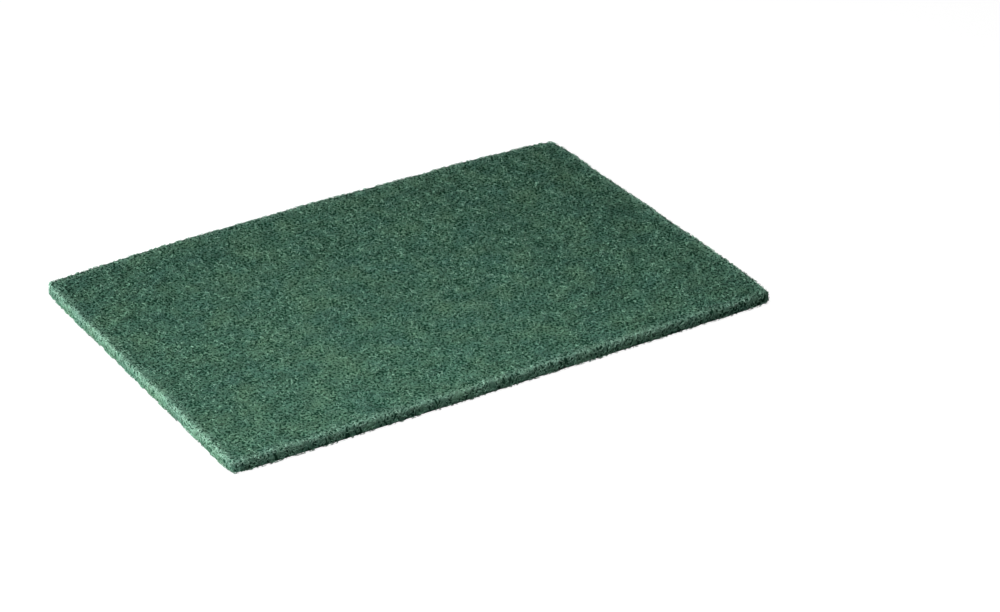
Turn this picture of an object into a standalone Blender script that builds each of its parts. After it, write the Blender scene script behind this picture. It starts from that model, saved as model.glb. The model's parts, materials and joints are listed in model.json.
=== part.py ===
"""Scouring pad: one flat sheet of green non-woven fibre, cut to size.

The pad is a single piece, nine inches by six, with no backing, core or joints. It is a
flat sheet whose faces sit a little uneven, whose cut sides wander slightly off straight,
and whose rims are softly rounded all the way round.

Units are metres. The origin is under the middle of the pad, at the height it rests on.
+X runs along the long side, +Y along the short side and +Z up through the thickness.
"""

from math import cos, pi, radians, sin

import bmesh
import bpy

# The sheet as it is cut
PAD_LENGTH = 0.2286
PAD_WIDTH = 0.1524
PAD_THICKNESS = 0.0060
RIM_ROUND = 0.0015
RIM_SEGMENTS = 3

# How far the cut sides wander from straight
BACK_BOW = 0.0033
BOW_PEAK = -0.3
BACK_LEAN = -0.0008
FRONT_LEAN = 0.0012
RIGHT_DIP = 0.0012
CORNER_TRIM = 0.0008
BACK_RIGHT_TRIM = 0.0018
CUT_RIPPLE = 0.0001
RIPPLES_LONG_SIDE = 3.5
RIPPLES_SHORT_SIDE = 2.5
QUICK_RIPPLES = 2.3

# How uneven the upper face is, and how far apart its swells lie
FACE_RELIEF = 0.0007
SWELL_SPACING = 0.024

# The grid that carries the shape of the faces
CELLS_LONG = 36
CELLS_SHORT = 24

RIM_ANGLE = radians(50)

PAD_GREEN = (0.045, 0.130, 0.085, 1.0)
PAD_ROUGHNESS = 0.95


def clear_scene():
    for thing in list(bpy.data.objects):
        bpy.data.objects.remove(thing, do_unlink=True)


def make_collection(name):
    group = bpy.data.collections.new(name)
    bpy.context.scene.collection.children.link(group)
    return group


def fibre_material():
    material = bpy.data.materials.new("green_fibre")
    material.use_nodes = True
    shader = material.node_tree.nodes["Principled BSDF"]
    shader.inputs["Base Color"].default_value = PAD_GREEN
    shader.inputs["Roughness"].default_value = PAD_ROUGHNESS
    shader.inputs["Metallic"].default_value = 0.0
    return material


def ripple(along, waves, start):
    """The wander of a cut side: a slow wave and a quicker, smaller one on top of it.

    along runs from -1 to 1 between the side's corners.
    """
    slow = sin(waves * pi * along + start)
    quick = sin(QUICK_RIPPLES * waves * pi * along + 2 * start)
    return CUT_RIPPLE * (slow + quick / 2)


def bow(along):
    """One smooth hump over a whole side, with its peak off the middle. Its mean is nought."""
    reach = 1 - BOW_PEAK if along > BOW_PEAK else 1 + BOW_PEAK
    return cos((along - BOW_PEAK) / reach * pi / 2) - 2 / pi


def dip(along):
    """A side that draws in smoothly over its back half, and stays in as far as its corner."""
    share = min(max((along + 0.3) / 0.8, 0.0), 1.0)
    return sin(share * pi / 2) ** 2


def trim(u, v):
    """How far the corners are drawn in: all of them a little, the back right one more."""
    near = max(abs(u) - 0.88, 0.0) / 0.12 * max(abs(v) - 0.82, 0.0) / 0.18
    most = BACK_RIGHT_TRIM if u > 0 and v > 0 else CORNER_TRIM
    return most * near ** 1.5


def outward_move(u, v):
    """How far the cut sides lie outside the plain rectangle, at u, v from -1 to 1."""
    right = ripple(v, RIPPLES_SHORT_SIDE, 0.4) - RIGHT_DIP * dip(v) - trim(u, v)
    left = ripple(v, RIPPLES_SHORT_SIDE, 2.1) - trim(u, v)
    back = ripple(u, RIPPLES_LONG_SIDE, 1.3) + BACK_BOW * bow(u) + BACK_LEAN * u - trim(u, v)
    front = ripple(u, RIPPLES_LONG_SIDE, 3.0) + FRONT_LEAN * u - trim(u, v)
    move_x = right * max(u, 0.0) - left * max(-u, 0.0)
    move_y = back * max(v, 0.0) - front * max(-v, 0.0)
    return move_x, move_y


def pad_underside():
    """The flat lower face as a grid, cut to the pad's outline and centred on its box."""
    mesh = bpy.data.meshes.new("scouring_pad")
    form = bmesh.new()
    bmesh.ops.create_grid(form, x_segments=CELLS_LONG, y_segments=CELLS_SHORT, size=1.0)
    for point in form.verts:
        u, v = point.co.x, point.co.y
        move_x, move_y = outward_move(u, v)
        point.co.x = u * PAD_LENGTH / 2 + move_x
        point.co.y = v * PAD_WIDTH / 2 + move_y
    for axis in (0, 1):
        places = [point.co[axis] for point in form.verts]
        middle = (min(places) + max(places)) / 2
        for point in form.verts:
            point.co[axis] -= middle
    bmesh.ops.reverse_faces(form, faces=form.faces[:])
    form.to_mesh(mesh)
    form.free()
    return mesh


def add_thickness(pad):
    """Raise the upper face over the lower one, and put its points in their own group."""
    pad.vertex_groups.new(name="upper_face")
    solid = pad.modifiers.new("thickness", "SOLIDIFY")
    solid.thickness = PAD_THICKNESS
    solid.offset = -1.0
    solid.shell_vertex_group = "upper_face"


def add_relief(pad):
    """Let the upper face swell and sink gently, as pressed fibre does."""
    swells = bpy.data.textures.new("face_swells", "CLOUDS")
    swells.noise_scale = SWELL_SPACING
    swells.noise_depth = 1
    relief = pad.modifiers.new("relief", "DISPLACE")
    relief.texture = swells
    relief.texture_coords = "LOCAL"
    relief.direction = "Z"
    relief.mid_level = 0.5
    relief.strength = FACE_RELIEF
    relief.vertex_group = "upper_face"


def add_soft_rims(pad):
    """Round every cut edge and corner."""
    rounding = pad.modifiers.new("soft_rims", "BEVEL")
    rounding.width = RIM_ROUND
    rounding.segments = RIM_SEGMENTS
    rounding.limit_method = "ANGLE"
    rounding.angle_limit = RIM_ANGLE


def scouring_pad(group):
    pad = bpy.data.objects.new("scouring_pad", pad_underside())
    group.objects.link(pad)
    pad.data.materials.append(fibre_material())
    add_thickness(pad)
    add_relief(pad)
    add_soft_rims(pad)
    pad.data.shade_smooth()
    return pad


clear_scene()
scouring_pad(make_collection("scouring_pad"))
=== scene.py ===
"""Looks of the scouring pad: a sheet of matted green fibre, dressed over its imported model.

The pad's own mass is a dense, pitted sheet. Over both of its faces and along its cut sides
lie thousands of short crimped fibres, each a closed tube of its own.
"""

import json
from math import cos, pi, radians, sin, sqrt

import bpy
import numpy as np
from bpy.props import FloatProperty, FloatVectorProperty, IntProperty, PointerProperty
from mathutils import Matrix, Vector
from mathutils.bvhtree import BVHTree

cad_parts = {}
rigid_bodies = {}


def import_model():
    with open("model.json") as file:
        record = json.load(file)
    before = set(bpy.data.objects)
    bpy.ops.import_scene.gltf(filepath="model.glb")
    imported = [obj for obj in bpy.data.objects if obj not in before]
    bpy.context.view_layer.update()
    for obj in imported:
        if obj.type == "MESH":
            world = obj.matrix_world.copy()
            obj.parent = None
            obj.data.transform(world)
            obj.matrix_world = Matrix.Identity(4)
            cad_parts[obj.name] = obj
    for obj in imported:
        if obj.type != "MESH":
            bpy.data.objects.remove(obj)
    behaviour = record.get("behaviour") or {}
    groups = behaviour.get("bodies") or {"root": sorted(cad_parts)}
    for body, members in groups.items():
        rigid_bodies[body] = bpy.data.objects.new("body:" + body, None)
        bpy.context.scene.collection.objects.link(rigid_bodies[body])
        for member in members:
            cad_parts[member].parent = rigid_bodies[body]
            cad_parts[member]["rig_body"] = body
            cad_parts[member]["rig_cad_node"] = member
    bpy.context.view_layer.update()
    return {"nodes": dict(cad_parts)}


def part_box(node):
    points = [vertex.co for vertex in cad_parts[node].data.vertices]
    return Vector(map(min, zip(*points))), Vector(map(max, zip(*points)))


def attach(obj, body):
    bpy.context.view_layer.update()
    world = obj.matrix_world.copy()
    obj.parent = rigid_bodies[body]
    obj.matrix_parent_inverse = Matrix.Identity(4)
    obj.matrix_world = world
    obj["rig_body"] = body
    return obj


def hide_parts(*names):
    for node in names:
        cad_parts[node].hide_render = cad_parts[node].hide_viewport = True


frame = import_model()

bl_info = {
    "name": "Scouring pad",
    "version": (1, 0, 0),
    "blender": (4, 5, 0),
    "location": "View3D > Sidebar > Scouring pad",
    "description": "Builds a green non-woven scouring pad around its packed model",
    "category": "Add Mesh",
}

PAD_NODE = "scouring_pad"
BODY = "root"
PAD_LOW, PAD_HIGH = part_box(PAD_NODE)

UP = 2
WHITE = (1.0, 1.0, 1.0, 1.0)
SQUARE_MM_IN_SQUARE_M = 1e6

# How the pad's cut sides are told from its faces, and how far behind the middle of a side its
# rim may lie. Beyond the measured room, the distance to the pad's box stands for that to its cut.
UPRIGHT_NORMAL = 0.3
SIDE_FACING = 0.6
RIM_REACH = 0.0017
MEASURED_ROOM = 0.012
LEAST_RUN = 1e-12

# The mass: what merges its points, the share of the rim that stays smooth, the greys of the
# cloudy patterns that leave it as it is, and its lowest point
MASS_WELD = 0.00001
SMOOTH_RIM_SHARE = 0.3
LUMP_MIDDLE = 0.5
PIT_MIDDLE = 0.6
MASS_LOWEST = 0.00015

# The fibres: a tube of three sides is drawn wider, to look as wide as a round one
FIBRE_SIDES = 3
TUBE_FIT = 1.15
FIBRE_WELD = 0.000001
CURL_SHARE = 0.5
CLIMB_KEPT = 0.4
BASE_LIFT = 0.6

# How high along the pores' field a fibre is kept, and how far it is moved for that
CLEAR_LEVEL = 0.35
CLEAR_REACH = 0.00035

# A fibre's own field in its map: how long it is for its width, and the gaps round it
FIELD_RATIO = 8 / 3
FIELD_SIDE_GAP = 0.08
FIELD_END_GAP = 0.04

# Each seed of a pattern lies elsewhere and is turned, so that no grid lies square to the pad
PATTERN_TURN = (0.6, 0.5, 0.4)
SEED_TURN = (0.7, 1.1, 0.9)
SEED_MOVE = (0.31, 0.17, 0.0)

# Broad patches of colour: their blobs' size, where they begin, and how strongly they tint
COOL_PATCHES = {
    "size": 0.012, "seed": 1, "detail": 3.0, "rough": 0.6, "start": 0.40, "share": 0.50}
WARM_PATCHES = {
    "size": 0.014, "seed": 2, "detail": 3.0, "rough": 0.6, "start": 0.44, "share": 0.45}
SHADE_PATCHES = {
    "size": 0.0075, "seed": 3, "detail": 2.0, "rough": 0.5, "start": 0.44, "share": 0.42}
PATCH_FULL = 0.70

# The painted highlight along the upper rim: from where to where it fades inwards and downwards,
# and how much it pales
RIM_HIGHLIGHT_INWARDS = (0.0045, 0.0010)
RIM_HIGHLIGHT_DOWNWARDS = (0.0028, 0.0054)
RIM_HIGHLIGHT_FACE_FIBRE = 0.28
RIM_HIGHLIGHT_SIDE_FIBRE = 0.62
RIM_HIGHLIGHT_MASS = 0.24

# Fibre surface: how long its tones are, and how they part
TONE_SIZE = 0.0007
TONE_RANGE = (0.38, 0.60)
FIBRE_ROUGHNESS = 0.65
FIBRE_SHINE = 0.18

# Mass surface: its fine strands, and its pores between their rim and their floor, whose floor is
# darkened with painted shade
STRAND_LAYERS = 4
STRAND_SIZE = 0.0015
STRAND_SHRINK = 0.0002
STRAND_SEED = 4
STRAND_WIDTH = 0.06
STRAND_FULL = 1.7
STRAND_HEIGHT = 0.5
PORE_RANGE = (0.22, -1.00)
PORE_SHADE_SHARE = 0.93
BUMP_STRENGTH = 0.8
BUMP_DEPTH = 0.0005
MASS_ROUGHNESS = 0.85
MASS_SHINE = 0.05

# Layers of a face: name, seed, side, share of the web's depth, and darkest and palest colours. The
# darker layers reach deeper and the pale one stays near the top, so depth is partly painted as
# shade over the random tones.
FACE_LAYERS = (
    ("top_web_dark", 11, 1, 1.0, "dark", "dark"),
    ("top_web_green", 12, 1, 0.7, "dark", "green"),
    ("top_web_pale", 13, 1, 0.5, "green", "pale"),
    ("underside_web", 14, -1, 0.8, "dark", "pale"),
)

# Cut sides: axis, side, and share of the side web's depth
CUT_SIDES = ((0, -1, 0.5), (0, 1, 1.0), (1, -1, 1.0), (1, 1, 0.7))
SIDE_SEED = 20
SIDE_TONE_SEED = 21
SIDE_SQUEEZE = 0.8

# Lamps: where they stand and look, and how wide they are
OVERHEAD = {"place": (-0.065, -0.14, 0.25), "target": (0, -0.05, 0), "size": 0.22}
LEFT_KEY = {"place": (-1.0, 0.09, 0.15), "target": (0, 0, 0), "size": 0.4}

# The floor: its size and drop, its grey and glow as seen, and its grey as it lights the pad
FLOOR_SIZE = 12.0
FLOOR_DROP = 0.0001
FLOOR_SEEN = (0.35, 0.35, 0.35, 1.0)
FLOOR_GLOW = 0.90
FLOOR_BOUNCE = (0.18, 0.18, 0.18, 1.0)

SENSOR_WIDTH = 36.0


class WebSettings(bpy.types.PropertyGroup):
    """Sizes of the pad's mass and of the fibres over it."""

    skin: FloatProperty(
        name="Skin", description="How deep the dense mass lies under the fibres' tops",
        default=0.0008, min=0.0, unit="LENGTH")
    rim_skin: FloatProperty(
        name="Rim skin", description="The same at the rims and on the cut sides",
        default=0.0005, min=0.0, unit="LENGTH")
    rim: FloatProperty(
        name="Rim", description="How far from the cut edges the mass begins to thin and roughen",
        default=0.003, min=0.0001, unit="LENGTH")
    cell: FloatProperty(
        name="Mass cell", description="Size of the faces of the dense mass",
        default=0.00120, min=0.0005, unit="LENGTH")
    lump_height: FloatProperty(
        name="Lump height", description="How much the mass swells and sinks between its rims",
        default=0.00045, min=0.0, unit="LENGTH")
    lump_spacing: FloatProperty(
        name="Lump spacing", description="Size of those swells",
        default=0.0035, min=0.0005, unit="LENGTH")
    pit_height: FloatProperty(
        name="Pit height", description="How much finer pits and bumps rise and fall",
        default=0.00060, min=0.0, unit="LENGTH")
    pit_spacing: FloatProperty(
        name="Pit spacing", description="Size of those pits",
        default=0.0016, min=0.0005, unit="LENGTH")
    pore_spacing: FloatProperty(
        name="Pore spacing", description="Least distance between two pores of the web",
        default=0.00098, min=0.0005, unit="LENGTH")
    width: FloatProperty(
        name="Fibre width", description="Width of a fibre",
        default=0.00023, min=0.00005, unit="LENGTH")
    stride: FloatProperty(
        name="Fibre stride", description="Length of a fibre between two bends",
        default=0.00050, min=0.0002, unit="LENGTH")
    bends: IntProperty(
        name="Fibre bends", description="Strides in a fibre",
        default=8, min=2)
    crimp: FloatProperty(
        name="Crimp", description="How sharply a fibre bends from stride to stride",
        default=0.80, subtype="ANGLE")
    loft: FloatProperty(
        name="Loft", description="How steeply a fibre climbs and dives",
        default=1.10, subtype="ANGLE")
    side_loft: FloatProperty(
        name="Side loft", description="The same for the fibres of the cut sides",
        default=0.55, subtype="ANGLE")
    depth: FloatProperty(
        name="Web depth", description="Depth of the layer that the fibres lie in",
        default=0.0011, min=0.0, unit="LENGTH")
    side_depth: FloatProperty(
        name="Side web depth", description="The same for the fibres of the cut sides",
        default=0.0009, min=0.0, unit="LENGTH")
    top_count: IntProperty(
        name="Top fibres", description="Fibres in each tone of the top",
        default=4650, min=1)
    base_count: IntProperty(
        name="Base fibres", description="Fibres of the underside",
        default=2900, min=1)
    side_density: FloatProperty(
        name="Side fibres", description="Fibres to a square millimetre of the cut sides",
        default=0.85, min=0.01)


def colour_setting(name, description, default):
    return FloatVectorProperty(
        name=name, description=description, subtype="COLOR", size=4, min=0.0, max=1.0,
        default=(*default, 1.0))


class ColourSettings(bpy.types.PropertyGroup):
    """Colours of the pad."""

    pale: colour_setting(
        "Pale fibre", "The lightest fibres of the faces", (0.282, 0.515, 0.384))
    green: colour_setting(
        "Green fibre", "Most fibres, and the strands of the mass", (0.144, 0.320, 0.218))
    # Partly painted shade: the darkest tone goes to the fibres that reach deepest, besides its
    # random share
    dark: colour_setting(
        "Dark fibre", "Deep fibres, and the mass between its strands", (0.064, 0.157, 0.107))
    # Painted shade: the near-black floor of the pores
    pore: colour_setting(
        "Pore", "Painted shade at the bottom of a pore", (0.006, 0.045, 0.024))
    # Painted highlight: the pale colour given to the upper rim of the cut edges
    worn: colour_setting(
        "Painted rim highlight", "Painted highlight along the upper rim", (0.390, 0.630, 0.500))
    cool: colour_setting(
        "Cool patch", "Broad bluish patches", (0.069, 0.186, 0.157))
    warm: colour_setting(
        "Warm patch", "Broad yellowish patches", (0.173, 0.325, 0.192))


class StudioSettings(bpy.types.PropertyGroup):
    """Camera and lights."""

    azimuth: FloatProperty(
        name="Azimuth", description="Turn of the camera about the pad, from the long front side",
        default=radians(-32.164), subtype="ANGLE")
    elevation: FloatProperty(
        name="Elevation", description="Height of the camera as an angle",
        default=radians(30.034), subtype="ANGLE")
    distance: FloatProperty(
        name="Distance", description="From the camera to the pad",
        default=1.2194, unit="LENGTH")
    aside: FloatProperty(
        name="Aside", description="How far the pad lies right of the view's middle",
        default=-0.03526, unit="LENGTH")
    above: FloatProperty(
        name="Above", description="How far the pad lies above the view's middle",
        default=0.00839, unit="LENGTH")
    lens: FloatProperty(
        name="Lens", description="In millimetres, on a 36 mm sensor",
        default=116.836)
    overhead: FloatProperty(
        name="Overhead", description="Power of the overhead light",
        default=0.67)
    key: FloatProperty(
        name="Key", description="Power of the low light on the left",
        default=19.5)
    fill: FloatProperty(
        name="Fill", description="Light from all round",
        default=0.065)


def deselect_all():
    if bpy.context.mode != "OBJECT":
        bpy.ops.object.mode_set(mode="OBJECT")
    bpy.ops.object.select_all(action="DESELECT")


def pick(piece):
    deselect_all()
    piece.select_set(True)
    bpy.context.view_layer.objects.active = piece


def merge_close_points(distance):
    """Merges the points of the active piece that lie closer than a distance."""
    bpy.ops.object.mode_set(mode="EDIT")
    bpy.ops.mesh.select_all(action="SELECT")
    bpy.ops.mesh.remove_doubles(threshold=distance)
    bpy.ops.object.mode_set(mode="OBJECT")


class Wire:
    """A socket in a material's node tree that takes part in arithmetic."""

    def __init__(self, tree, socket=None):
        self.tree = tree
        self.socket = socket

    def node(self, kind, settings=None, sockets=None, out=0):
        """Adds a node, sets it up and returns one of its outputs."""
        made = self.tree.nodes.new(kind)
        for name, value in (settings or {}).items():
            setattr(made, name, value)
        for name, value in (sockets or {}).items():
            if isinstance(value, Wire):
                self.tree.links.new(value.socket, made.inputs[name])
            else:
                made.inputs[name].default_value = value
        return Wire(self.tree, made.outputs[out] if made.outputs else None)

    def math(self, operation, *values):
        return self.node("ShaderNodeMath", {"operation": operation}, dict(enumerate(values)))

    def sine(self):
        return self.math("SINE", self)

    def along(self, direction):
        """How far this place lies along a direction."""
        product = {"operation": "DOT_PRODUCT"}
        return self.node("ShaderNodeVectorMath", product, {0: self, 1: direction}, "Value")

    def __add__(self, other):
        return self.math("ADD", self, other)

    def __radd__(self, other):
        return self.math("ADD", other, self)

    def __sub__(self, other):
        return self.math("SUBTRACT", self, other)

    def __rsub__(self, other):
        return self.math("SUBTRACT", other, self)

    def __mul__(self, other):
        return self.math("MULTIPLY", self, other)

    def __rmul__(self, other):
        return self.math("MULTIPLY", other, self)

    def between(self, low, high):
        """0 at low, 1 at high, and held there outside them."""
        sockets = {"Value": self, "From Min": low, "From Max": high}
        return self.node("ShaderNodeMapRange", {"clamp": True}, sockets)

    def mixed(self, first, second):
        """The colour first where this is 0, and second where it is 1."""
        return self.node("ShaderNodeMix", {"data_type": "RGBA"}, {0: self, 6: first, 7: second}, 2)


def new_material(name):
    material = bpy.data.materials.new(name)
    material.use_nodes = True
    material.node_tree.nodes.clear()
    return material, Wire(material.node_tree)


def noise(wire, place, size, seed, detail=2.0, rough=0.5):
    """Cloudy noise from 0 to 1 whose blobs are about size metres across."""
    moved = wire.node("ShaderNodeMapping", {}, {
        "Vector": place,
        "Location": tuple(step * seed for step in SEED_MOVE),
        "Rotation": tuple(first + step * seed for first, step in zip(PATTERN_TURN, SEED_TURN)),
    })
    sockets = {"Vector": moved, "Scale": 1 / size, "Detail": detail, "Roughness": rough}
    return wire.node("ShaderNodeTexNoise", {}, sockets)


def finish_material(wire, colour, roughness, shine, normal=None):
    sockets = {"Base Color": colour, "Roughness": roughness, "Specular IOR Level": shine}
    if normal:
        sockets["Normal"] = normal
    shader = wire.node("ShaderNodeBsdfPrincipled", {}, sockets)
    wire.node("ShaderNodeOutputMaterial", {}, {"Surface": shader})


class PoreField:
    """A cloudy field of plane waves, low where the web has a pore and high along its strands.

    The fibres' paths and the mass's colour both read it, so that a pore is open and darkened with
    painted shade.
    Fine waves make the pores, and broad ones crowd them in some places more than in others.
    Wave lengths are in pore spacings.
    """

    SEED = 1706
    FINE = 26
    FINE_LENGTHS = (1.0, 2.3)
    FINE_FALL = -0.4
    BROAD = 12
    BROAD_LENGTHS = (5.0, 14.0)
    BROAD_STRENGTH = 0.38
    TURN_SPREAD = 0.1
    STEEPEST = 0.6

    def __init__(self, spacing):
        rng = np.random.default_rng(self.SEED)
        lengths = np.r_[
            np.geomspace(*self.FINE_LENGTHS, self.FINE),
            np.geomspace(*self.BROAD_LENGTHS, self.BROAD),
        ]
        count = len(lengths)
        turn = pi * np.r_[
            rng.permutation(self.FINE) / self.FINE,
            rng.permutation(self.BROAD) / self.BROAD,
        ]
        turn = turn + rng.uniform(0, self.TURN_SPREAD, count)
        rise = self.STEEPEST * rng.uniform(-1, 1, count)
        flat = np.sqrt(1 - rise ** 2)
        heading = np.c_[flat * np.cos(turn), flat * np.sin(turn), rise]
        self.waves = 2 * pi * heading / (spacing * lengths)[:, None]
        self.starts = rng.uniform(0, 2 * pi, count)
        fine = np.arange(count) < self.FINE
        strength = np.where(fine, lengths ** self.FINE_FALL, self.BROAD_STRENGTH)
        self.strengths = strength * sqrt(2 / (strength ** 2).sum())

    def level(self, points):
        return np.sin(points @ self.waves.T + self.starts) @ self.strengths

    def slope(self, points):
        return (np.cos(points @ self.waves.T + self.starts) * self.strengths) @ self.waves

    def wired(self, place):
        """The same field as nodes, at a place."""
        total = 0.0
        parts = zip(self.waves.tolist(), self.starts.tolist(), self.strengths.tolist())
        for wave, start, strength in parts:
            total = total + (place.along(wave) + start).sine() * strength
        return total

    def clear_of_pores(self, points):
        """Points moved uphill, out of the pores."""
        short = np.maximum(CLEAR_LEVEL - self.level(points), 0.0)
        slope = self.slope(points)
        steep = np.linalg.norm(slope, axis=-1)
        move = np.minimum(short / steep, CLEAR_REACH) / steep
        return points + slope * move[..., None]


def patches(wire, place, kind):
    """Where the broad patches of one kind lie, and how strongly they tint there."""
    cloud = noise(wire, place, kind["size"], kind["seed"], kind["detail"], kind["rough"])
    return cloud.between(kind["start"], PATCH_FULL) * kind["share"]


def patched(wire, place, colour, colours):
    """A colour with the broad faint patches that all of the pad's materials share."""
    cooled = patches(wire, place, COOL_PATCHES).mixed(colour, colours.cool)
    warmed = patches(wire, place, WARM_PATCHES).mixed(cooled, colours.warm)
    return patches(wire, place, SHADE_PATCHES).mixed(warmed, colours.dark)


def worn(wire, place, colour, colours, share):
    """A colour paled by a share on the upper rim of the pad's cut edges, as a painted highlight.
    """
    room = wire.node("ShaderNodeAttribute", {"attribute_name": "room"}, {}, "Fac")
    height = wire.node("ShaderNodeSeparateXYZ", {}, {0: place}, "Z")
    # Painted highlight along the upper rim, fading inwards and downwards
    rim = room.between(*RIM_HIGHLIGHT_INWARDS) * height.between(*RIM_HIGHLIGHT_DOWNWARDS)
    return (rim * share).mixed(colour, colours.worn)


def fibre_material(name, low, high, colours, seed, share):
    """Fibre whose tone drifts along and between strands, and pales by a share at the rim as a
    painted highlight.
    """
    material, wire = new_material(name)
    place = wire.node("ShaderNodeTexCoord", {}, {}, "Object")
    tone = noise(wire, place, TONE_SIZE, seed).between(*TONE_RANGE)
    colour = patched(wire, place, tone.mixed(low, high), colours)
    colour = worn(wire, place, colour, colours, share)
    finish_material(wire, colour, FIBRE_ROUGHNESS, FIBRE_SHINE)
    return material


def mass_material(colours, pores):
    """The matted mass: fine strands, small pores darkened with painted shade, and faint broad
    patches.
    """
    material, wire = new_material("pad_mass")
    place = wire.node("ShaderNodeTexCoord", {}, {}, "Object")
    strands = 0.0
    for layer in range(STRAND_LAYERS):
        size = STRAND_SIZE - STRAND_SHRINK * layer
        side = noise(wire, place, size, STRAND_SEED + layer, 1.0) - 0.5
        strands = strands + (1 - side.math("ABSOLUTE", side).between(0.0, STRAND_WIDTH))
    strands = strands.between(0.0, STRAND_FULL)
    deep = pores.wired(place).between(*PORE_RANGE)
    colour = patched(wire, place, strands.mixed(colours.dark, colours.green), colours)
    # Painted highlight on the mass along the upper rim
    colour = worn(wire, place, colour, colours, RIM_HIGHLIGHT_MASS)
    # Painted shade: the mass darkens towards the pore colour where the pores are deep
    colour = (deep * PORE_SHADE_SHARE).mixed(colour, colours.pore)
    height = strands * STRAND_HEIGHT - deep
    relief = {"Strength": BUMP_STRENGTH, "Distance": BUMP_DEPTH, "Height": height}
    bump = wire.node("ShaderNodeBump", {}, relief)
    finish_material(wire, colour, MASS_ROUGHNESS, MASS_SHINE, bump)
    return material


class PadShape:
    """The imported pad's surface, to lay fibres in from any of its six faces."""

    def __init__(self):
        node = frame["nodes"][PAD_NODE]
        self.low, self.high = PAD_LOW, PAD_HIGH
        places = [vertex.co.copy() for vertex in node.data.vertices]
        faces = node.data.polygons
        self.tree = BVHTree.FromPolygons(places, [tuple(face.vertices) for face in faces])
        cuts = []
        for face in faces:
            if abs(face.normal.z) < UPRIGHT_NORMAL:
                run = [places[k].xy for k in face.vertices]
                cuts.append((run[0], max(run, key=lambda end: (end - run[0]).length)))
        self.cuts = np.array(cuts)

    def mark_room(self, mesh):
        """Gives each point of a mesh its distance from the nearest cut side, seen from above."""
        points = np.empty(len(mesh.vertices) * 3, np.float32)
        mesh.vertices.foreach_get("co", points)
        points = points.reshape(-1, 3)[:, :2]
        room = (np.array(self.high.xy) - np.abs(points)).min(axis=1).astype(np.float32)
        outer = np.flatnonzero(room < MEASURED_ROOM)
        points, least = points[outer], np.full(len(outer), np.inf, np.float32)
        for start, end in self.cuts.astype(np.float32):
            run = end - start
            share = np.clip((points - start) @ run / max(run @ run, LEAST_RUN), 0.0, 1.0)
            away = points - start - share[:, None] * run
            least = np.minimum(least, np.linalg.norm(away, axis=1))
        room[outer] = least
        mesh.attributes.new("room", "FLOAT", "POINT").data.foreach_set("value", room)
        return room

    def surface(self, points, axis, sign):
        """Where the face of that axis and sign lies at each point, or nan beside the face.

        A ray that passes over a rim and lands far behind it has missed the face, and so has
        one that lands on the next side of the pad.
        """
        heading = Vector((0.0, 0.0, 0.0))
        heading[axis] = -sign
        found = np.full(len(points), np.nan)
        for i, point in enumerate(points):
            start = Vector(point)
            start[axis] = sign
            hit = self.tree.ray_cast(start, heading)[0]
            if not hit:
                continue
            if axis != UP:
                start.z = (self.low.z + self.high.z) / 2
                middle, facing = self.tree.ray_cast(start, heading)[:2]
                if not middle or abs(facing[axis]) < SIDE_FACING:
                    continue
                if abs(middle[axis] - hit[axis]) > RIM_REACH:
                    continue
            found[i] = hit[axis]
        return found


def map_fibres(mesh, rings):
    """Lays every fibre out in a small field of its own in the mesh's map.

    rings gives the number of rings of points that make up each fibre, in order.
    """
    first = np.concatenate([[0], np.cumsum(rings)]) * FIBRE_SIDES
    if first[-1] != len(mesh.vertices):
        raise RuntimeError("The fibres don't have three points to a ring.")
    point = np.empty(len(mesh.loops), np.int64)
    mesh.loops.foreach_get("vertex_index", point)
    point = point.reshape(-1, 4)
    fibre = np.searchsorted(first, point, side="right") - 1
    ring, corner = np.divmod(point - first[fibre], FIBRE_SIDES)
    wraps = (corner == 0) & (corner == FIBRE_SIDES - 1).any(axis=1)[:, None]
    corner[wraps] = FIBRE_SIDES
    columns = int(np.ceil(sqrt(len(rings) * FIELD_RATIO)))
    rows = int(np.ceil(len(rings) / columns))
    row, column = np.divmod(fibre, columns)
    across = FIELD_SIDE_GAP + (1 - 2 * FIELD_SIDE_GAP) * corner / FIBRE_SIDES
    along = FIELD_END_GAP + (1 - 2 * FIELD_END_GAP) * ring / (np.array(rings)[fibre] - 1)
    places = np.stack([(column + across) / columns, (row + along) / rows], axis=-1)
    while mesh.uv_layers:
        mesh.uv_layers.remove(mesh.uv_layers[0])
    layer = mesh.uv_layers.new(name="OFBake")
    layer.uv.foreach_set("vector", places.astype(np.float32).ravel())


def fibre_profile(name, width):
    """The three-sided outline that is drawn along every fibre."""
    profile = bpy.data.curves.new(name + "_profile", "CURVE")
    profile.dimensions = "2D"
    ring = profile.splines.new("POLY")
    ring.points.add(FIBRE_SIDES - 1)
    reach = width / 2 * TUBE_FIT
    for i, point in enumerate(ring.points):
        angle = 2 * pi * i / FIBRE_SIDES
        point.co = (reach * cos(angle), reach * sin(angle), 0.0, 1.0)
    ring.use_cyclic_u = True
    shaper = bpy.data.objects.new(name + "_profile", profile)
    bpy.context.scene.collection.objects.link(shaper)
    return shaper


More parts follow.
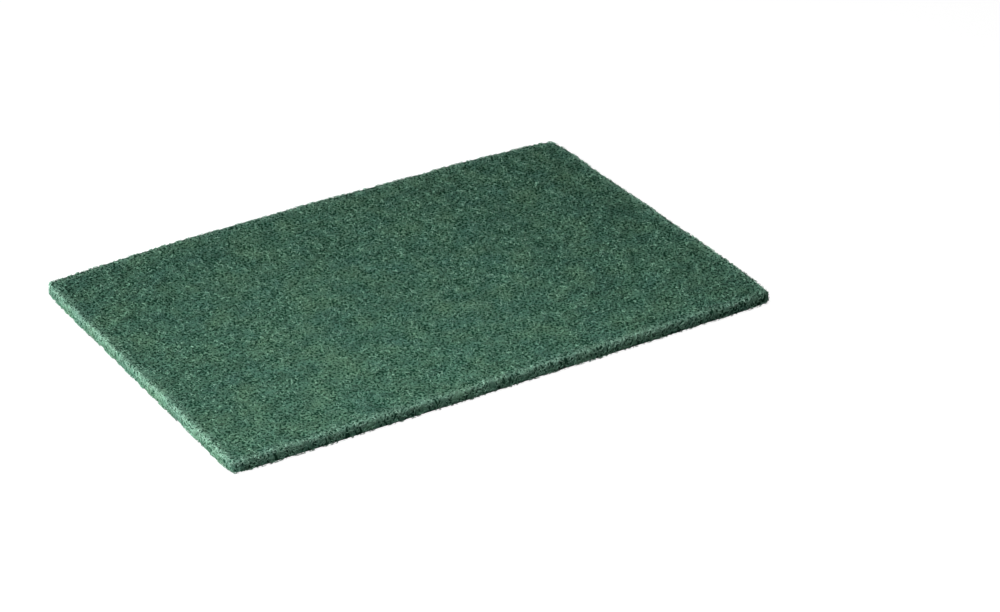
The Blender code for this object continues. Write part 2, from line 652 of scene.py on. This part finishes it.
def fibre_mesh(name, shape, paths, width, material):
    """Closed tubes with pointed ends along paths, as one mesh."""
    curve = bpy.data.curves.new(name, "CURVE")
    curve.dimensions = "3D"
    for path in paths:
        spline = curve.splines.new("POLY")
        spline.points.add(len(path) - 1)
        places = np.c_[path, np.ones(len(path))].astype(np.float32)
        spline.points.foreach_set("co", places.ravel())
        radius = np.ones(len(path), np.float32)
        radius[[0, -1]] = 0.0
        spline.points.foreach_set("radius", radius)
    shaper = fibre_profile(name, width)
    curve.bevel_mode = "OBJECT"
    curve.bevel_object = shaper
    piece = bpy.data.objects.new(name, curve)
    bpy.context.scene.collection.objects.link(piece)
    pick(piece)
    bpy.ops.object.convert(target="MESH")
    bpy.data.objects.remove(shaper)
    map_fibres(piece.data, [len(path) for path in paths])
    merge_close_points(FIBRE_WELD)
    bpy.ops.object.shade_smooth()
    shape.mark_room(piece.data)
    piece.data.materials.clear()
    piece.data.materials.append(material)
    return piece


def settle(piece):
    """Puts a finished piece on the pad's body."""
    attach(piece, BODY)


def wander(shape, web, count, seed, flat, deep_by, loft, squeeze):
    """Crimped walks over a face: two places in it and a depth under it for every bend.

    flat gives the face's two axes, deep_by the depth of the layer, and squeeze flattens the
    walks across the second axis.
    """
    rng = np.random.default_rng(seed)
    at = rng.uniform([shape.low[k] for k in flat], [shape.high[k] for k in flat], (count, 2))
    deep = rng.uniform(0.0, deep_by, count)
    heading = rng.uniform(0, 2 * pi, count)
    pitch = rng.normal(0, loft, count)
    curl = rng.normal(0, web.crimp * CURL_SHARE, count)
    walk = [np.c_[at, deep]]
    for _ in range(web.bends):
        heading = heading + curl + rng.normal(0, web.crimp, count)
        pitch = CLIMB_KEPT * pitch + rng.normal(0, loft, count)
        step = web.stride * np.c_[
            np.cos(pitch) * np.cos(heading),
            squeeze * np.cos(pitch) * np.sin(heading),
            np.sin(pitch),
        ]
        at = at + step[:, :2]
        deep = deep + step[:, 2]
        out = (deep < 0) | (deep > deep_by)
        pitch[out] *= -1
        deep = np.clip(deep, 0.0, deep_by)
        walk.append(np.c_[at, deep])
    return np.array(walk).transpose(1, 0, 2)


def trimmed(points, least_step):
    """Paths cut off where they leave the face, without the steps that are too short."""
    paths = []
    for path in points:
        whole = np.isfinite(path).all(axis=1)
        if not whole[0]:
            continue
        path = path[:len(path) if whole.all() else int(np.argmin(whole))]
        steps = np.linalg.norm(np.diff(path, axis=0), axis=1)
        path = path[np.concatenate([[True], steps > least_step])]
        if len(path) >= 3:
            paths.append(path)
    return paths


def face_paths(shape, web, pores, count, seed, axis, sign, deep_by, loft, squeeze=1.0):
    """Crimped fibres in the outer layer of one of the pad's faces, led round its pores.

    axis and sign give the face.
    """
    flat = [k for k in range(3) if k != axis]
    walk = wander(shape, web, count, seed, flat, deep_by, loft, squeeze)
    points = np.zeros(walk.shape)
    points[:, :, flat] = walk[:, :, :2]
    points[:, :, axis] = shape.high[axis] if sign > 0 else shape.low[axis]
    moved = pores.clear_of_pores(points)
    points[:, :, flat] = moved[:, :, flat]
    skin = shape.surface(points.reshape(-1, 3), axis, sign).reshape(points.shape[:2])
    points[:, :, axis] = skin - sign * (walk[:, :, 2] + web.width / 2)
    points[:, :, UP] = np.maximum(points[:, :, UP], shape.low.z + web.width * BASE_LIFT)
    return trimmed(points, web.width / 2)


class PAD_OT_mass(bpy.types.Operator):
    """Makes the pad's dense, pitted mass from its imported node."""

    bl_idname = "scouring_pad.make_mass"
    bl_label = "Pad mass"

    def execute(self, context):
        web, colours = context.scene.pad_web, context.scene.pad_colours
        piece = self.copy_of_node(context)
        merge_close_points(MASS_WELD)
        piece.data.remesh_voxel_size = web.cell
        if "FINISHED" not in bpy.ops.object.voxel_remesh():
            raise RuntimeError("The mass couldn't be given even faces.")
        within = piece.vertex_groups.new(name="within_rims")
        for index, room in enumerate(PadShape().mark_room(piece.data).tolist()):
            share = min(max(room / web.rim - SMOOTH_RIM_SHARE, 0.0), 1.0)
            within.add([index], share, "REPLACE")
        self.turned = bpy.data.objects.new("turned", None)
        self.turned.rotation_euler = PATTERN_TURN
        context.scene.collection.objects.link(self.turned)
        context.view_layer.update()
        self.push(piece, "", -web.rim_skin)
        self.push(piece, "within_rims", web.rim_skin - web.skin)
        self.roughen(piece, "lumps", web.lump_height, LUMP_MIDDLE, web.lump_spacing)
        self.roughen(piece, "pits", web.pit_height, PIT_MIDDLE, web.pit_spacing)
        bpy.data.objects.remove(self.turned)
        for vertex in piece.data.vertices:
            vertex.co.z = max(vertex.co.z, MASS_LOWEST)
        bpy.ops.object.shade_smooth()
        piece.data.materials.clear()
        piece.data.materials.append(mass_material(colours, PoreField(web.pore_spacing)))
        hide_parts(PAD_NODE)
        settle(piece)
        return {"FINISHED"}

    def copy_of_node(self, context):
        """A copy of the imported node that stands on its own."""
        pick(frame["nodes"][PAD_NODE])
        bpy.ops.object.duplicate()
        piece = context.active_object
        piece.name = "pad_mass"
        piece.data.name = "pad_mass"
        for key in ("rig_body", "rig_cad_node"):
            if key in piece:
                del piece[key]
        piece.parent = None
        return piece

    def push(self, piece, group, distance):
        """Moves the surface of a group of points, or of all, outwards by a distance."""
        bpy.ops.object.modifier_add(type="DISPLACE")
        push = piece.modifiers[-1]
        push.vertex_group = group
        push.direction = "NORMAL"
        push.strength = distance
        push.mid_level = 0.0
        bpy.ops.object.modifier_apply(modifier=push.name)

    def roughen(self, piece, name, height, middle, spacing):
        """Moves the points within the rims up and down by a cloudy pattern."""
        pattern = bpy.data.textures.new(name, "CLOUDS")
        pattern.noise_scale = spacing
        pattern.noise_depth = 1
        bpy.ops.object.modifier_add(type="DISPLACE")
        relief = piece.modifiers[-1]
        relief.vertex_group = "within_rims"
        relief.direction = "Z"
        relief.strength = height
        relief.mid_level = middle
        relief.texture = pattern
        relief.texture_coords = "OBJECT"
        relief.texture_coords_object = self.turned
        bpy.ops.object.modifier_apply(modifier=relief.name)


class PAD_OT_face_fibres(bpy.types.Operator):
    """Lays the crimped fibres over the pad's two faces."""

    bl_idname = "scouring_pad.make_face_fibres"
    bl_label = "Face fibres"

    def execute(self, context):
        web, colours = context.scene.pad_web, context.scene.pad_colours
        shape, pores = PadShape(), PoreField(web.pore_spacing)
        for name, seed, sign, share, low, high in FACE_LAYERS:
            count = web.top_count if sign > 0 else web.base_count
            deep_by = web.depth * share
            paths = face_paths(shape, web, pores, count, seed, UP, sign, deep_by, web.loft)
            low, high = getattr(colours, low), getattr(colours, high)
            material = fibre_material(name, low, high, colours, seed, RIM_HIGHLIGHT_FACE_FIBRE)
            settle(fibre_mesh(name, shape, paths, web.width, material))
        return {"FINISHED"}


class PAD_OT_side_fibres(bpy.types.Operator):
    """Lays the fibres of the pad's four cut sides."""

    bl_idname = "scouring_pad.make_side_fibres"
    bl_label = "Side fibres"

    def execute(self, context):
        web, colours = context.scene.pad_web, context.scene.pad_colours
        shape, pores = PadShape(), PoreField(web.pore_spacing)
        size = PAD_HIGH - PAD_LOW
        paths = []
        for seed, (axis, sign, share) in enumerate(CUT_SIDES, SIDE_SEED):
            area = size[1 - axis] * size[UP] * SQUARE_MM_IN_SQUARE_M
            paths += face_paths(
                shape, web, pores, int(area * web.side_density), seed, axis, sign,
                web.side_depth * share, web.side_loft, SIDE_SQUEEZE)
        material = fibre_material(
            "side_web", colours.green, colours.pale, colours, SIDE_TONE_SEED, RIM_HIGHLIGHT_SIDE_FIBRE)
        settle(fibre_mesh("side_web", shape, paths, web.width, material))
        return {"FINISHED"}


def area_light(name, power, place, target, size):
    """A square lamp that looks at a point."""
    data = bpy.data.lights.new(name, "AREA")
    data.shape = "SQUARE"
    data.size = size
    data.energy = power
    lamp = bpy.data.objects.new(name, data)
    bpy.context.scene.collection.objects.link(lamp)
    lamp.location = place
    sight = Vector(target) - lamp.location
    lamp.rotation_euler = sight.to_track_quat("-Z", "Y").to_euler()


class PAD_OT_stage(bpy.types.Operator):
    """Sets up the floor, lights and camera."""

    bl_idname = "scouring_pad.make_stage"
    bl_label = "Stage"

    def execute(self, context):
        studio = context.scene.pad_studio
        self.make_floor()
        self.make_world(context.scene, studio.fill)
        area_light("overhead", studio.overhead, **OVERHEAD)
        area_light("left_key", studio.key, **LEFT_KEY)
        self.make_camera(context.scene, studio)
        context.scene.view_settings.view_transform = "Standard"
        return {"FINISHED"}

    def make_floor(self):
        """A pale floor that glows for the camera alone, and still takes the pad's shadow."""
        deselect_all()
        bpy.ops.mesh.primitive_plane_add(size=FLOOR_SIZE, location=(0, 0, -FLOOR_DROP))
        floor = bpy.context.active_object
        floor.name = "floor"
        material, wire = new_material("floor")
        path = wire.node("ShaderNodeLightPath", {}, {}, "Is Camera Ray")
        seen = wire.node("ShaderNodeBsdfDiffuse", {}, {"Color": FLOOR_SEEN})
        glow = wire.node("ShaderNodeEmission", {}, {"Color": WHITE, "Strength": FLOOR_GLOW})
        lit = wire.node("ShaderNodeAddShader", {}, {0: seen, 1: glow})
        bounce = wire.node("ShaderNodeBsdfDiffuse", {}, {"Color": FLOOR_BOUNCE})
        both = wire.node("ShaderNodeMixShader", {}, {0: path, 1: bounce, 2: lit})
        wire.node("ShaderNodeOutputMaterial", {}, {"Surface": both})
        floor.data.materials.append(material)

    def make_world(self, scene, strength):
        """White all round for the camera, and a soft fill for the pad."""
        world = bpy.data.worlds.new("studio")
        world.use_nodes = True
        world.node_tree.nodes.clear()
        scene.world = world
        wire = Wire(world.node_tree)
        path = wire.node("ShaderNodeLightPath", {}, {}, "Is Camera Ray")
        seen = wire.node("ShaderNodeBackground", {}, {"Color": WHITE, "Strength": 1.0})
        fill = wire.node("ShaderNodeBackground", {}, {"Color": WHITE, "Strength": strength})
        both = wire.node("ShaderNodeMixShader", {}, {0: path, 1: fill, 2: seen})
        wire.node("ShaderNodeOutputWorld", {}, {"Surface": both})

    def make_camera(self, scene, studio):
        back = Vector((
            sin(studio.azimuth) * cos(studio.elevation),
            -cos(studio.azimuth) * cos(studio.elevation),
            sin(studio.elevation),
        ))
        right = Vector((0, 0, 1)).cross(back).normalized()
        upward = back.cross(right)
        middle = Vector((0.0, 0.0, PAD_HIGH.z))
        data = bpy.data.cameras.new("camera")
        data.lens = studio.lens
        data.sensor_width = SENSOR_WIDTH
        camera = bpy.data.objects.new("camera", data)
        scene.collection.objects.link(camera)
        turn = Matrix((right, upward, back)).transposed().to_4x4()
        place = middle - right * studio.aside - upward * studio.above + back * studio.distance
        camera.matrix_world = Matrix.Translation(place) @ turn
        scene.camera = camera


class PAD_PT_panel(bpy.types.Panel):
    """Lists the sizes, the colours and the makers of the pad."""

    bl_idname = "PAD_PT_panel"
    bl_label = "Scouring pad"
    bl_space_type = "VIEW_3D"
    bl_region_type = "UI"
    bl_category = "Scouring pad"

    def draw(self, context):
        for group in (context.scene.pad_web, context.scene.pad_colours, context.scene.pad_studio):
            for name in group.bl_rna.properties.keys():
                if name not in ("rna_type", "name"):
                    self.layout.prop(group, name)
        for maker in MAKERS:
            self.layout.operator(maker.bl_idname)


MAKERS = (PAD_OT_mass, PAD_OT_face_fibres, PAD_OT_side_fibres, PAD_OT_stage)
CLASSES = (WebSettings, ColourSettings, StudioSettings, *MAKERS, PAD_PT_panel)


def register():
    for made in CLASSES:
        bpy.utils.register_class(made)
    bpy.types.Scene.pad_web = PointerProperty(type=WebSettings)
    bpy.types.Scene.pad_colours = PointerProperty(type=ColourSettings)
    bpy.types.Scene.pad_studio = PointerProperty(type=StudioSettings)


def unregister():
    del bpy.types.Scene.pad_studio
    del bpy.types.Scene.pad_colours
    del bpy.types.Scene.pad_web
    for made in reversed(CLASSES):
        bpy.utils.unregister_class(made)


def main():
    register()
    bpy.ops.scouring_pad.make_mass()
    bpy.ops.scouring_pad.make_face_fibres()
    bpy.ops.scouring_pad.make_side_fibres()
    bpy.ops.scouring_pad.make_stage()


if __name__ == "__main__":
    main()
